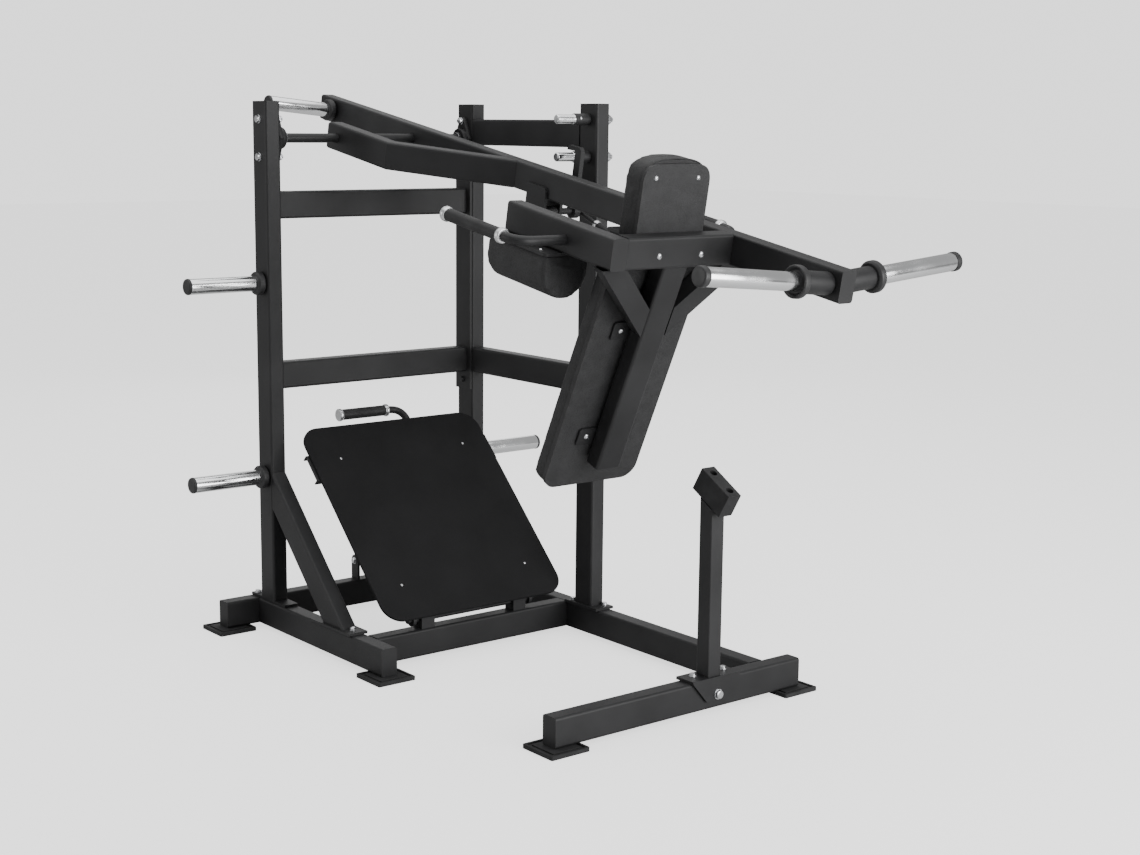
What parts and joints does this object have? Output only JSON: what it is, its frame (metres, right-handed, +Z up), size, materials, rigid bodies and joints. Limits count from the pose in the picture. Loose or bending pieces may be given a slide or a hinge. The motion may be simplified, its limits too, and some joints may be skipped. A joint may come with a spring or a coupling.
{
  "type": "leg press machine",
  "caption": "Plate-loaded squat and leg press: a pivoting arm with shoulder, back and head pads, weight horns and a hand-released catch over a tilting foot plate.",
  "frame": {"origin": "centre of the bounding box in plan, on the floor", "axes": "+X from the rear uprights towards the loaded end of the arm, +Y from the side with one upright towards the side with two, +Z up"},
  "size_m": [2.505, 1.358, 1.7228],
  "materials": {
    "black_coat": "satin black powder coat",
    "chrome": "polished",
    "rubber": "matte moulded rubber",
    "rubber_grip": "fine textured grip sleeve with bright collars",
    "upholstery": "grained black synthetic leather over foam",
    "board": "black covered backing board",
    "cast_black": "black painted casting"
  },
  "bodies": {
    "frame": {"rear_base_tube": "black_coat", "left_base_rail": "black_coat", "right_base_rail": "black_coat", "front_cross_tube": "black_coat", "end_base_tube": "black_coat", "rear_left_foot": "rubber", "rear_right_foot": "rubber", "front_left_foot": "rubber", "end_left_foot": "rubber", "end_right_foot": "rubber", "left_rear_upright": "black_coat", "right_rear_upright": "black_coat", "right_front_upright": "black_coat", "upper_rear_crossbar": "black_coat", "lower_rear_crossbar": "black_coat", "crossbar_plate": "black_coat", "upper_side_crossbar": "black_coat", "lower_side_crossbar": "black_coat", "diagonal_brace": "black_coat", "stop_block": "rubber", "stop_post": "black_coat", "upper_storage_horn": "chrome", "lower_storage_horn": "chrome", "right_storage_horn": "chrome", "left_flange_bearing": "cast_black", "right_flange_bearing": "cast_black", "upper_catch_pin": "chrome", "lower_catch_pin": "chrome"},
    "swing_arm": {"main_arm": "black_coat", "bent_arm": "black_coat", "pivot_shaft": "black_coat", "left_beam": "black_coat", "cross_beam": "black_coat", "hanger_tube": "black_coat", "left_knee_brace": "black_coat", "right_knee_brace": "black_coat", "back_pad_board": "board", "back_pad_cushion": "upholstery", "headrest_board": "board", "headrest_cushion": "upholstery", "left_shoulder_plate": "black_coat", "left_shoulder_cushion": "upholstery", "right_shoulder_plate": "black_coat", "right_shoulder_cushion": "upholstery", "left_handle": "rubber_grip", "right_handle": "rubber_grip", "rear_weight_horn": "chrome", "left_load_horn": "chrome", "right_load_horn": "chrome", "catch_bracket": "black_coat"},
    "catch": {"catch_hook": "black_coat", "release_lever": "rubber_grip"},
    "foot_plate": {"foot_plate": "black_coat", "foot_plate_shaft": "chrome", "left_foot_plate_rail": "black_coat", "right_foot_plate_rail": "black_coat", "foot_plate_bearer": "black_coat", "foot_plate_handle": "rubber_grip"},
    "prop_tube": {"prop_tube": "black_coat"},
    "prop_rod": {"prop_rod": "chrome"}
  },
  "joints": [
    {"name": "arm_swing", "type": "hinge", "parent": "frame", "child": "swing_arm", "pos_m": [-0.66732, 0, 1.576], "axis": [0, 1, 0], "range_deg": [-10, 19.9]},
    {"name": "catch_release", "type": "hinge", "parent": "swing_arm", "child": "catch", "pos_m": [0.02899, 0.275, 1.3651], "axis": [0, 1, 0], "range_deg": [-10, 15]},
    {"name": "foot_plate_tilt", "type": "hinge", "parent": "frame", "child": "foot_plate", "pos_m": [-0.12232, 0, 0.125], "axis": [0, 1, 0], "range_deg": [-6, 6]},
    {"name": "prop_tilt", "type": "hinge", "parent": "frame", "child": "prop_tube", "pos_m": [-0.74932, 0, 0.16], "axis": [0, 1, 0], "range_deg": [-1.8, 1.8]},
    {"name": "prop_extend", "type": "slide", "parent": "prop_tube", "child": "prop_rod", "axis": [0.5377, 0, 0.8431], "range_m": [-0.06, 0.06]}
  ],
  "couplings": [
    {"joint": "prop_tilt", "follows": "foot_plate_tilt", "ratio": 0.2742},
    {"joint": "prop_extend", "follows": "foot_plate_tilt", "m_per_rad": 0.5472}
  ]
}
